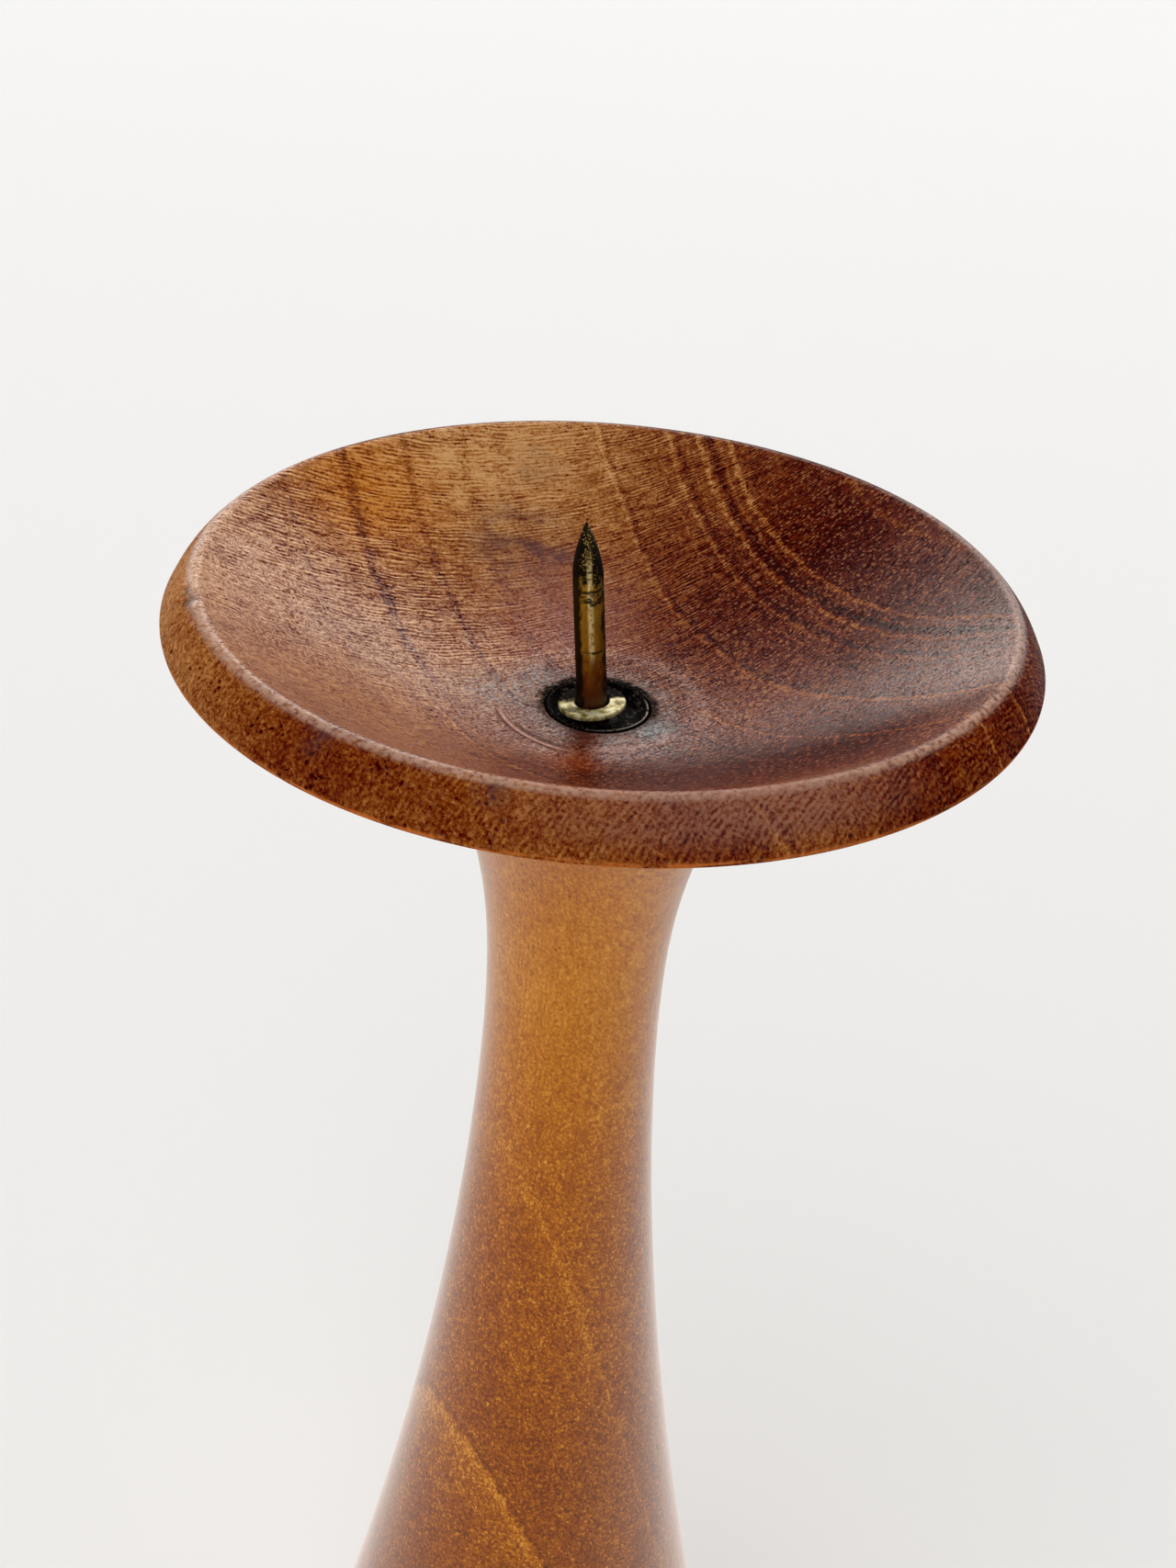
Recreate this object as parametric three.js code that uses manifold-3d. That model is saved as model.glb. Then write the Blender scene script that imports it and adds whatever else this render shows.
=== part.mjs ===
// A turned teak candlestick: a bevelled drip dish on a trumpet-shaped stem, with a brass candle spike.
// Millimetres, +Z up, origin on the table under the centre of the foot.

import * as THREE from "three";
import { mergeVertices } from "three/addons/utils/BufferGeometryUtils.js";
import Module from "manifold-3d";

const wasm = await Module();
wasm.setup();

const { degToRad } = THREE.MathUtils;

// Fineness of the round pieces
const WOOD_SIDES = 64;
const METAL_SIDES = 32;
const ARC_STEPS = 4;

// Clearances
const GLUE_GAP = 0.3; // round the dowel and under its end
const CUP_GAP = 0.3; // round the cup, and between its floor and the spike's shoulder
const CUP_HOLE_GAP = 0.3; // between the cup's floor and the spike
const SCREW_GAP = 0.3; // round the spike's screw
const COLLAR_GAP = 0.3; // between the collar and the spike
const FELT_GAP = 0.5; // round the felt pad

// Dish, measured from its widest circle
const RIM_HEIGHT = 275; // the widest circle above the table
const RIM_RADIUS = 60;
const RIM_ROUNDING = 0.9; // the edge between the bevel and the underside
const BEVEL_WIDTH = 5.2;
const BEVEL_RISE = 5.8;
const BEVEL_CROWN = 0.5; // how far the bevel bulges
const BEVEL_TURN = degToRad(14); // how far the bulge turns the bevel at each end
const CREST_ROUNDING = 2.3; // the top of the rim, between the bevel and the bowl
const BOWL_DROP = 12.9; // the bowl's lower edge under the widest circle
const BOWL_POWER = 1.45; // how hollow the bowl is: 1 is a plain cone
const WELL_RADIUS = 14.7; // flat well round the spike
const WELL_DEPTH = 0.5;
const WELL_SLOPE_WIDTH = 0.8; // the step down into the well
const FLOOR_THICKNESS = 8.6; // from the well to the joint with the stem
const UNDERSIDE_SLOPE = degToRad(22); // of the underside at the rim
const UNDERSIDE_PULL = 0.35; // how long the underside keeps its slope at each end

// Stem
const NECK_DROP = 66; // the narrowest place under the widest circle
const NECK_RADIUS = 13.2;
const SEAT_FLARE = 8; // how much wider the stem is where it meets the dish
const SEAT_POWER = 2.6; // how late it widens on the way up
const FOOT_RADIUS = 50;
const FOOT_POWER = 1.67; // how late it widens on the way down
const FOOT_EDGE = 2; // upright edge of the foot
const FOOT_ROUNDING = 1;
const JOINT_CHAMFER = 0.2; // on both sides of the joint

// Felt pad let into the foot
const FELT_INSET = 7; // from the edge of the foot to the felt
const FELT_SUNK = 1.5;
const FELT_PROUD = 1;

// Dowel that joins the dish to the stem and holds the spike's screw
const DOWEL_END = 8; // wood left below the screw
const DOWEL_FLUTES = 16;
const FLUTE_DEPTH = 0.35;
const DOWEL_CHAMFER = 0.8;

// Cup that lines the recess round the spike
const CUP_WALL = 0.4;
const CUP_FLARE = 0.9; // how much wider it is at the lip than at the floor
const CUP_PROUD = 0.15; // its lip above the well
const CUP_MARGIN = 0.3; // from the leaning collar to the edge of the floor

// Spike, which leans about a point under the well
const SPIKE_LEAN = degToRad(5.7);
const LEAN_DEPTH = 8; // that point under the well
const SPIKE_RADIUS = 2.15;
const SHANK_LENGTH = 20.3; // from the collar's underside to the point
const POINT_LENGTH = 7.9;
const POINT_POWER = 1.7; // how full the point is: 1 is a plain cone
const TIP_RADIUS = 0.22;
const SCORE_HEIGHTS = [7.8, 17.3]; // scored rings above the collar's underside
const SCORE_WIDTH = 0.35;
const SCORE_DEPTH = 0.14;
const SHOULDER_WIDTH = 0.75; // how far it stands out from the shank
const SHOULDER_LENGTH = 0.6;
const TAIL_LENGTH = 26; // from the collar's underside down
const TAIL_POINT = 4;
const THREAD_START = 6; // plain shank above the thread
const THREAD_PITCH = 1.8;
const THREAD_DEPTH = 0.6;
const THREAD_STEPS = 12; // in one turn

// Collar on the spike
const COLLAR_RADIUS = 4.8;
const COLLAR_THICKNESS = 0.8;
const COLLAR_ROUNDING = 0.3;

// Sizes and heights that follow from the ones above
const lipRadius = RIM_RADIUS - BEVEL_WIDTH;
const lipHeight = RIM_HEIGHT + BEVEL_RISE;
const wellHeight = RIM_HEIGHT - BOWL_DROP - WELL_DEPTH;
const seatHeight = wellHeight - FLOOR_THICKNESS;
const seatRadius = NECK_RADIUS + SEAT_FLARE;
const neckHeight = RIM_HEIGHT - NECK_DROP;
const feltRadius = FOOT_RADIUS - FELT_INSET;
const feltThickness = FELT_SUNK + FELT_PROUD;
const shoulderRadius = SPIKE_RADIUS + SHOULDER_WIDTH;
const shoulderDrop = COLLAR_GAP + SHOULDER_LENGTH;

// The cup's floor lies under the lower side of the leaning shoulder, and its wall clears the leaning collar.
const shoulderDip = shoulderDrop * Math.cos(SPIKE_LEAN) + shoulderRadius * Math.sin(SPIKE_LEAN);
const cupFloor = wellHeight - shoulderDip - CUP_GAP;
const cupFloorRadius = LEAN_DEPTH * Math.sin(SPIKE_LEAN) + COLLAR_RADIUS + CUP_MARGIN;
const cupRadius = cupFloorRadius + CUP_FLARE + CUP_WALL;
const boreRadius = cupRadius + CUP_GAP;

// The pivot of the lean, the same for the spike, its collar and its hole.
const pivotHeight = wellHeight - LEAN_DEPTH;
const collarSeat = LEAN_DEPTH;
const tailEnd = collarSeat - TAIL_LENGTH;
const holeRadius = SPIKE_RADIUS + SCREW_GAP;

const dowelRadius = boreRadius - GLUE_GAP;
const dowelTop = cupFloor - CUP_WALL;
const dowelBottom = pivotHeight + (tailEnd - SCREW_GAP) * Math.cos(SPIKE_LEAN) - DOWEL_END;

const finishes = {
  teak: { color: 0x8c4a20, roughness: 0.42, metalness: 0 },
  beech: { color: 0xc79a6b, roughness: 0.7, metalness: 0 },
  cup: { color: 0x1a1512, roughness: 0.6, metalness: 0.6 },
  spike: { color: 0x7a6226, roughness: 0.38, metalness: 1 },
  collar: { color: 0xb9a765, roughness: 0.4, metalness: 1 },
  felt: { color: 0x2c3a26, roughness: 1, metalness: 0 },
};

function named(name, geometry, finish) {
  const mesh = new THREE.Mesh(geometry, new THREE.MeshStandardMaterial(finishes[finish]));
  mesh.name = name;
  return mesh;
}

// A profile of [radius, height] pairs turned about +Z.
function turned(profile, sides) {
  const points = profile.map(([radius, height]) => new THREE.Vector2(radius, height));
  return new THREE.LatheGeometry(points, sides).rotateX(Math.PI / 2);
}

// Equal steps from 0 to 1, ends included.
function steps(count) {
  return Array.from({ length: count + 1 }, (_, i) => i / count);
}

// An arc of a profile between two directions, given as angles from outward, which is 0, to upward.
function arc(centreRadius, centreHeight, rounding, from, to) {
  return steps(ARC_STEPS).map((t) => {
    const angle = from + (to - from) * t;
    return [centreRadius + rounding * Math.cos(angle), centreHeight + rounding * Math.sin(angle)];
  });
}

function toManifold(geometry) {
  const bare = geometry.clone();
  bare.deleteAttribute("normal");
  bare.deleteAttribute("uv");
  const merged = mergeVertices(bare, 1e-4);
  return new wasm.Manifold(
    new wasm.Mesh({
      numProp: 3,
      vertProperties: new Float32Array(merged.attributes.position.array),
      triVerts: new Uint32Array(merged.index.array),
    }),
  );
}

function toGeometry(manifold) {
  const mesh = manifold.getMesh();
  return new THREE.BufferGeometry()
    .setAttribute("position", new THREE.BufferAttribute(mesh.vertProperties, 3))
    .setIndex(new THREE.BufferAttribute(mesh.triVerts, 1));
}

// The underside carries on the stem's line from the joint and sweeps out to the rim.
function dishUnderside() {
  const seatSlope = (SEAT_POWER * SEAT_FLARE) / (seatHeight - neckHeight);
  const start = new THREE.Vector2(seatRadius, seatHeight + JOINT_CHAMFER);
  const end = new THREE.Vector2(
    RIM_RADIUS - RIM_ROUNDING + RIM_ROUNDING * Math.sin(UNDERSIDE_SLOPE),
    RIM_HEIGHT - RIM_ROUNDING * Math.cos(UNDERSIDE_SLOPE),
  );
  const pull = UNDERSIDE_PULL * start.distanceTo(end);
  const leave = new THREE.Vector2(seatSlope, 1).setLength(pull);
  const arrive = new THREE.Vector2(Math.cos(UNDERSIDE_SLOPE), Math.sin(UNDERSIDE_SLOPE)).setLength(pull);
  const curve = new THREE.CubicBezierCurve(start, start.clone().add(leave), end.clone().sub(arrive), end);
  return curve.getPoints(10).map((p) => [p.x, p.y]);
}

// The rounded edge, the crowned bevel and the rounded crest, out and over the rim.
function dishRim() {
  const bevelTilt = Math.atan2(BEVEL_WIDTH, BEVEL_RISE);
  const edge = arc(
    RIM_RADIUS - RIM_ROUNDING,
    RIM_HEIGHT,
    RIM_ROUNDING,
    UNDERSIDE_SLOPE - Math.PI / 2,
    bevelTilt - BEVEL_TURN,
  );
  const from = new THREE.Vector2(...edge.at(-1));
  const along = new THREE.Vector2(lipRadius, lipHeight).sub(from);
  const out = new THREE.Vector2(along.y, -along.x).normalize();
  const bevel = steps(4).map((t) => {
    const p = from.clone().addScaledVector(along, t).addScaledVector(out, 4 * BEVEL_CROWN * t * (1 - t));
    return [p.x, p.y];
  });
  const lipTurn = bevelTilt + BEVEL_TURN;
  const crest = arc(
    lipRadius - CREST_ROUNDING * Math.cos(lipTurn),
    lipHeight - CREST_ROUNDING * Math.sin(lipTurn),
    CREST_ROUNDING,
    lipTurn,
    Math.PI / 2 + Math.atan(bowlTopSlope()),
  );
  return [...edge.slice(1), ...bevel.slice(1), ...crest.slice(1)];
}

// The slope of the bowl at its upper edge.
function bowlTopSlope() {
  return (BOWL_POWER * (BEVEL_RISE + BOWL_DROP)) / (lipRadius - CREST_ROUNDING - WELL_RADIUS);
}

function dishBowl([outer, high]) {
  const low = RIM_HEIGHT - BOWL_DROP;
  return steps(11)
    .slice(1)
    .map((t) => [outer + (WELL_RADIUS - outer) * t, low + (high - low) * (1 - t) ** BOWL_POWER]);
}

function dripDish() {
  const rim = dishRim();
  const profile = [
    [boreRadius, seatHeight],
    [seatRadius - JOINT_CHAMFER, seatHeight],
    ...dishUnderside(),
    ...rim,
    ...dishBowl(rim.at(-1)),
    [WELL_RADIUS - WELL_SLOPE_WIDTH, wellHeight],
    [boreRadius, wellHeight],
    [boreRadius, seatHeight],
  ];
  return named("drip_dish", turned(profile, WOOD_SIDES), "teak");
}

function stem() {
  const feltRecess = feltRadius + FELT_GAP;
  const edgeTop = FELT_PROUD + FOOT_ROUNDING + FOOT_EDGE;
  const seatEdge = seatHeight - JOINT_CHAMFER;
  const lower = steps(15).map((t) => [
    NECK_RADIUS + (FOOT_RADIUS - NECK_RADIUS) * (1 - t) ** FOOT_POWER,
    edgeTop + (neckHeight - edgeTop) * t,
  ]);
  const upper = steps(9).map((t) => [
    NECK_RADIUS + SEAT_FLARE * t ** SEAT_POWER,
    neckHeight + (seatEdge - neckHeight) * t,
  ]);
  const profile = [
    [0, feltThickness],
    [feltRecess, feltThickness],
    [feltRecess, FELT_PROUD],
    ...arc(FOOT_RADIUS - FOOT_ROUNDING, FELT_PROUD + FOOT_ROUNDING, FOOT_ROUNDING, -Math.PI / 2, 0),
    ...lower,
    ...upper.slice(1),
    [seatRadius - JOINT_CHAMFER, seatHeight],
    [boreRadius, seatHeight],
    [boreRadius, dowelBottom - GLUE_GAP],
    [0, dowelBottom - GLUE_GAP],
  ];
  return named("stem", turned(profile, WOOD_SIDES), "teak");
}

function feltPad() {
  const profile = [
    [0, 0],
    [feltRadius, 0],
    [feltRadius, feltThickness],
    [0, feltThickness],
  ];
  return named("felt_pad", turned(profile, WOOD_SIDES), "felt");
}

function recessCup() {
  const lip = wellHeight + CUP_PROUD;
  const floorUnderside = cupFloor - CUP_WALL;
  const shaft = SPIKE_RADIUS / Math.cos(SPIKE_LEAN) + (cupFloor - pivotHeight) * Math.tan(SPIKE_LEAN);
  const hole = shaft + CUP_HOLE_GAP;
  const profile = [
    [hole, floorUnderside],
    [cupFloorRadius, floorUnderside],
    [cupFloorRadius + CUP_WALL, cupFloor],
    [cupRadius, lip - CUP_WALL],
    [cupRadius, lip],
    [cupRadius - CUP_WALL, lip],
    [cupFloorRadius, cupFloor],
    [hole, cupFloor],
    [hole, floorUnderside],
  ];
  return named("recess_cup", turned(profile, METAL_SIDES), "cup");
}

// The frame that the spike and its collar stand in: its axis leans towards -X.
function leaningFrame() {
  const frame = new THREE.Group();
  frame.position.set(0, 0, pivotHeight);
  frame.rotation.y = -SPIKE_LEAN;
  frame.updateMatrix();
  return frame;
}

function centreDowel() {
  const outline = new THREE.Shape();
  const corners = DOWEL_FLUTES * 3;
  for (let i = 0; i < corners; i++) {
    const radius = i % 3 === 0 ? dowelRadius - FLUTE_DEPTH : dowelRadius;
    const angle = (2 * Math.PI * i) / corners;
    const x = radius * Math.cos(angle);
    const y = radius * Math.sin(angle);
    if (i === 0) outline.moveTo(x, y);
    else outline.lineTo(x, y);
  }
  const rod = new THREE.ExtrudeGeometry(outline, {
    depth: dowelTop - dowelBottom - 2 * DOWEL_CHAMFER,
    bevelSegments: 1,
    bevelThickness: DOWEL_CHAMFER,
    bevelSize: DOWEL_CHAMFER,
    bevelOffset: -DOWEL_CHAMFER,
  }).translate(0, 0, dowelBottom + DOWEL_CHAMFER);
  const holeEnd = tailEnd - SCREW_GAP;
  const hole = turned(
    [
      [0, holeEnd],
      [holeRadius, holeEnd + TAIL_POINT / 2],
      [holeRadius, collarSeat],
      [0, collarSeat],
    ],
    METAL_SIDES,
  ).applyMatrix4(leaningFrame().matrix);
  return named("centre_dowel", toGeometry(toManifold(rod).subtract(toManifold(hole))), "beech");
}

// A scored ring in the shank, as profile points going up.
function scoredRing(height) {
  return [
    [SPIKE_RADIUS, height - SCORE_WIDTH / 2],
    [SPIKE_RADIUS - SCORE_DEPTH, height],
    [SPIKE_RADIUS, height + SCORE_WIDTH / 2],
  ];
}

function spikeShank() {
  const core = SPIKE_RADIUS - THREAD_DEPTH;
  const threadTop = collarSeat - THREAD_START;
  const shoulderTop = collarSeat - COLLAR_GAP;
  const shoulderBottom = collarSeat - shoulderDrop;
  const pointStart = collarSeat + SHANK_LENGTH;
  const rings = SCORE_HEIGHTS.filter((height) => height < SHANK_LENGTH - SCORE_WIDTH);
  const point = steps(7).map((t) => [
    TIP_RADIUS + (SPIKE_RADIUS - TIP_RADIUS) * (1 - t ** POINT_POWER),
    pointStart + POINT_LENGTH * t,
  ]);
  const profile = [
    [0, tailEnd],
    [core, tailEnd + TAIL_POINT],
    [core, threadTop],
    [SPIKE_RADIUS, threadTop + THREAD_DEPTH],
    [SPIKE_RADIUS, shoulderBottom],
    [shoulderRadius, shoulderBottom],
    [shoulderRadius, shoulderTop],
    [SPIKE_RADIUS, shoulderTop],
    ...rings.flatMap((height) => scoredRing(collarSeat + height)),
    ...point,
    [0, pointStart + POINT_LENGTH],
  ];
  return turned(profile, METAL_SIDES);
}

// The screw's helical ridge, with its root sunk into the core that it is joined to.
function threadRidge() {
  const core = SPIKE_RADIUS - THREAD_DEPTH;
  const root = core - THREAD_DEPTH / 2;
  const halfWidth = THREAD_PITCH * 0.3;
  const start = tailEnd + TAIL_POINT;
  const count = Math.round(((collarSeat - THREAD_START - start) / THREAD_PITCH) * THREAD_STEPS);
  const position = [];
  for (let i = 0; i <= count; i++) {
    const angle = (2 * Math.PI * i) / THREAD_STEPS;
    const height = start + (THREAD_PITCH * i) / THREAD_STEPS;
    const grown = Math.min(1, (Math.min(i, count - i) + 1) / THREAD_STEPS);
    const crest = core + THREAD_DEPTH * grown;
    const section = [
      [root, -halfWidth],
      [crest, 0],
      [root, halfWidth],
    ];
    for (const [radius, rise] of section) {
      position.push(radius * Math.cos(angle), radius * Math.sin(angle), height + rise);
    }
  }
  const index = [0, 1, 2];
  for (let i = 0; i < count; i++) {
    for (let k = 0; k < 3; k++) {
      const a = 3 * i + k;
      const b = 3 * i + ((k + 1) % 3);
      index.push(a, a + 3, b + 3, a, b + 3, b);
    }
  }
  const last = 3 * count;
  index.push(last, last + 2, last + 1);
  return new THREE.BufferGeometry()
    .setAttribute("position", new THREE.Float32BufferAttribute(position, 3))
    .setIndex(index);
}

function spike() {
  const joined = toManifold(spikeShank()).add(toManifold(threadRidge()));
  return named("spike", toGeometry(joined), "spike");
}

function spikeCollar() {
  const inner = SPIKE_RADIUS + COLLAR_GAP;
  const top = collarSeat + COLLAR_THICKNESS;
  const profile = [
    [inner, collarSeat],
    [COLLAR_RADIUS, collarSeat],
    ...arc(COLLAR_RADIUS - COLLAR_ROUNDING, top - COLLAR_ROUNDING, COLLAR_ROUNDING, 0, Math.PI / 2),
    [inner, top],
    [inner, collarSeat],
  ];
  return named("spike_collar", turned(profile, METAL_SIDES), "collar");
}

const leaning = leaningFrame();
leaning.add(spike(), spikeCollar());

const candlestick = new THREE.Group();
candlestick.add(feltPad(), stem(), dripDish(), centreDowel(), recessCup(), leaning);

export default candlestick;
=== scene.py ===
# A turned teak candlestick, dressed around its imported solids. The dish and the stem are finely turned
# meshes cut from solid wood whose growth rings, rays and pores run through them. The spike and its
# collar are tarnished brass, the recess is lined with blackened iron and the foot stands on felt.
# Sizes are in millimetres, +Z up, with the origin on the table under the centre of the foot.

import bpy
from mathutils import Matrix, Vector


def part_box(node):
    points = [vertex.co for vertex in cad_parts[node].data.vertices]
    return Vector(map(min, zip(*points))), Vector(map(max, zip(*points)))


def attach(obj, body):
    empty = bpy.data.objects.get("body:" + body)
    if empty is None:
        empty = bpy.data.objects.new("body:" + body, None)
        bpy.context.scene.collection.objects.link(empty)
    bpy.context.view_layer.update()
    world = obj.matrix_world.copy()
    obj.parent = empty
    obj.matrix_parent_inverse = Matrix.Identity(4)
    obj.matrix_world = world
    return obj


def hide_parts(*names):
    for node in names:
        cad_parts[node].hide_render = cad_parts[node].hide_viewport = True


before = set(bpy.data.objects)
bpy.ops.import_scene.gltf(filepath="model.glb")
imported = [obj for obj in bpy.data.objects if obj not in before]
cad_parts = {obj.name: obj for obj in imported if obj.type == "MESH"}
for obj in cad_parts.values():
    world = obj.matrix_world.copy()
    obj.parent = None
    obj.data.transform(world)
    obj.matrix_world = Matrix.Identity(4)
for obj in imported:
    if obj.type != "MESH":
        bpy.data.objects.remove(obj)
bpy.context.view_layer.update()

import math

import bpy
from mathutils import Matrix, Vector, noise
from mathutils.geometry import interpolate_bezier

MM = 0.001


def reach(node, axis):
    """The lowest and highest place of a CAD node along one axis, in millimetres."""
    low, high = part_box(node)
    return low[axis] / MM, high[axis] / MM


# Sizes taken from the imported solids
rim_radius = reach("drip_dish", 0)[1]
seat_height = reach("drip_dish", 2)[0]
foot_radius = reach("stem", 0)[1]
felt_radius = reach("felt_pad", 0)[1]
felt_top = reach("felt_pad", 2)[1]
cup_underside = reach("recess_cup", 2)[0]
cup_lip = reach("recess_cup", 2)[1]
cup_radius = reach("recess_cup", 0)[1]

# Dish
RIM_HEIGHT = 275.0
RIM_ROUNDING = 0.9
BEVEL_WIDTH = 5.2
BEVEL_RISE = 5.8
BEVEL_CROWN = 0.5
BEVEL_TURN = math.radians(14)
CREST_ROUNDING = 1.5
CREST_OVAL = 1.3
OVAL_START = 38.0
OVAL_FULL = 52.0
OVAL_MARGIN = 0.4
OVAL_FALL = 4.8
# Height above the rim where the ovality ends downwards, at its start, and how it rises outwards
OVAL_FLOOR = -6.0
OVAL_FLOOR_RISE = 0.3
BOWL_DROP = 12.9
BOWL_POWER = 1.45
WELL_RADIUS = 14.7
WELL_DEPTH = 0.5
WELL_SLOPE_WIDTH = 5.0
UNDERSIDE_SLOPE = math.radians(22)
UNDERSIDE_PULL = 0.35
# The softened mouth of the bore: out from its wall and down from the well
BORE_EDGE = ((0.3, 0.0), (0.1, 0.03), (0.0, 0.15))

# Stem
NECK_DROP = 66.0
NECK_RADIUS = 13.2
SEAT_FLARE = 8.0
SEAT_POWER = 2.6
FOOT_POWER = 1.67
FOOT_EDGE = 2.0
FOOT_ROUNDING = 1.0
JOINT_CHAMFER = 0.2
FELT_PROUD = 1.0
FELT_GAP = 0.5
FELT_ROUNDING = 0.6

# Cup
CUP_WALL = 0.4
CUP_GAP = 0.3
CUP_FLARE = 0.9
CUP_HOLE = 3.1

# Spike and collar
SPIKE_LEAN = math.radians(5.7)
LEAN_DEPTH = 8.0
SPIKE_RADIUS = 2.15
SHANK_LENGTH = 20.3
POINT_LENGTH = 7.9
POINT_POWER = 1.7
TIP_RADIUS = 0.22
SCORE_HEIGHTS = (9.3, 18.6)
SCORE_WIDTH = 0.35
SCORE_DEPTH = 0.14
SHOULDER_WIDTH = 0.75
SHOULDER_LENGTH = 0.6
TAIL_LENGTH = 26.0
TAIL_POINT = 4.0
TAIL_TIP = 0.05
THREAD_START = 6.0
THREAD_PITCH = 1.8
THREAD_DEPTH = 0.6
THREAD_HALF_WIDTH = 0.28
THREAD_LEAD_IN = 2.0
THREAD_RUN_OUT = 0.6
HAMMER_DEPTH = 0.05
COLLAR_RADIUS = 4.8
COLLAR_THICKNESS = 0.8
COLLAR_ROUNDING = 0.3
COLLAR_GAP = 0.3
FILING_DEPTH = 0.06

# Heights and radii that follow
well_height = RIM_HEIGHT - BOWL_DROP - WELL_DEPTH
neck_height = RIM_HEIGHT - NECK_DROP
seat_radius = NECK_RADIUS + SEAT_FLARE
bore_radius = cup_radius + CUP_GAP
lip_radius = rim_radius - BEVEL_WIDTH
lip_height = RIM_HEIGHT + BEVEL_RISE
pivot_height = well_height - LEAN_DEPTH

# Fineness of the meshes
WOOD_SIDES = 384
METAL_SIDES = 128

# Centre, radius and depth of each dent in the wood, and how far it is pressed inward and down;
# then how deep and how wide the surface wavers
DENTS = (
    ((-54.2, -14.7, 280.6), 2.0, 0.35),
    ((-54.9, -12.2, 280.5), 1.2, 0.25),
    ((-25.1, 10.2, 266.0), 0.7, 0.2),
    ((34.8, 46.4, 278.6), 1.4, 0.45),
    ((20.3, -7.1, 124.8), 0.8, 0.15),
)
DENT_INWARD = 0.6
DENT_DOWN = 0.8
WAVER_DEPTH = 0.03
WAVER_SIZE = 9.0


def spread(count):
    """Equal steps from 0 to 1, ends included."""
    return [i / count for i in range(count + 1)]


def arc(centre_radius, centre_height, rounding, start, end, count=12):
    """An arc of an outline between two directions, as angles from outward to upward."""
    points = []
    for t in spread(count):
        angle = start + (end - start) * t
        points.append((centre_radius + rounding * math.cos(angle), centre_height + rounding * math.sin(angle)))
    return points


def line(start, end, count):
    """Points on a straight stretch of an outline, without its start."""
    return [tuple(a + (b - a) * t for a, b in zip(start, end)) for t in spread(count)[1:]]


def build(name, vertices, faces, crease=math.radians(38)):
    """A smooth mesh object from points in millimetres, with its hard edges marked."""
    mesh = bpy.data.meshes.new(name)
    mesh.from_pydata([Vector(v) * MM for v in vertices], [], faces)
    mesh.validate()
    for face in mesh.polygons:
        face.use_smooth = True
    mesh.set_sharp_from_angle(angle=crease)
    piece = bpy.data.objects.new(name, mesh)
    bpy.context.collection.objects.link(piece)
    return piece


def turned(name, outline, sides, shape=None, place=None):
    """A closed outline of (radius, height) turned about +Z, then shaped and put in place."""
    vertices, rings, faces = [], [], []
    for radius, height in outline:
        if radius == 0:
            rings.append([len(vertices)] * sides)
            vertices.append(Vector((0, 0, height)))
            continue
        rings.append(list(range(len(vertices), len(vertices) + sides)))
        for j in range(sides):
            angle = 2 * math.pi * j / sides
            grown = shape(radius, height, angle) if shape else radius
            vertices.append(Vector((grown * math.cos(angle), grown * math.sin(angle), height)))
    pairs = list(zip(rings, rings[1:]))
    if outline[0][0] != 0:
        pairs.append((rings[-1], rings[0]))
    for lower, upper in pairs:
        for j in range(sides):
            k = (j + 1) % sides
            corners = []
            for corner in (lower[j], lower[k], upper[k], upper[j]):
                if corner not in corners:
                    corners.append(corner)
            faces.append(corners)
    if place:
        vertices = [place @ v for v in vertices]
    return build(name, vertices, faces)


def dress(piece, node, material):
    """The piece stands for a CAD node, rides on the only body and takes its material."""
    piece.data.materials.append(material)
    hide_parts(node)
    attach(piece, "root")


# Outlines


def dish_underside():
    """From the joint, on the stem's own line, out to the rim."""
    seat_slope = SEAT_POWER * SEAT_FLARE / (seat_height - neck_height)
    start = Vector((seat_radius, seat_height + JOINT_CHAMFER))
    end = Vector((
        rim_radius - RIM_ROUNDING + RIM_ROUNDING * math.sin(UNDERSIDE_SLOPE),
        RIM_HEIGHT - RIM_ROUNDING * math.cos(UNDERSIDE_SLOPE),
    ))
    pull = UNDERSIDE_PULL * (end - start).length
    leave = Vector((seat_slope, 1)).normalized() * pull
    arrive = Vector((math.cos(UNDERSIDE_SLOPE), math.sin(UNDERSIDE_SLOPE))) * pull
    return [tuple(p) for p in interpolate_bezier(start, start + leave, end - arrive, end, 48)]


def dish_rim():
    """The rounded edge, the crowned bevel and the rounded crest."""
    bevel_tilt = math.atan2(BEVEL_WIDTH, BEVEL_RISE)
    edge = arc(
        rim_radius - RIM_ROUNDING, RIM_HEIGHT, RIM_ROUNDING,
        UNDERSIDE_SLOPE - math.pi / 2, bevel_tilt - BEVEL_TURN,
    )
    start = Vector(edge[-1])
    along = Vector((lip_radius, lip_height)) - start
    out = Vector((along.y, -along.x)).normalized()
    bevel = [tuple(start + along * t + out * (4 * BEVEL_CROWN * t * (1 - t))) for t in spread(14)[1:]]
    lip_turn = bevel_tilt + BEVEL_TURN
    top_slope = BOWL_POWER * (BEVEL_RISE + BOWL_DROP) / (lip_radius - CREST_ROUNDING - WELL_RADIUS)
    crest = arc(
        lip_radius - CREST_ROUNDING * math.cos(lip_turn),
        lip_height - CREST_ROUNDING * math.sin(lip_turn),
        CREST_ROUNDING, lip_turn, math.pi / 2 + math.atan(top_slope), 14,
    )
    return edge[1:] + bevel + crest[1:]


def dish_bowl(start):
    """From the crest down to the edge of the well."""
    low = RIM_HEIGHT - BOWL_DROP
    return [
        (start[0] + (WELL_RADIUS - start[0]) * t, low + (start[1] - low) * (1 - t) ** BOWL_POWER)
        for t in spread(60)[1:]
    ]


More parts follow.
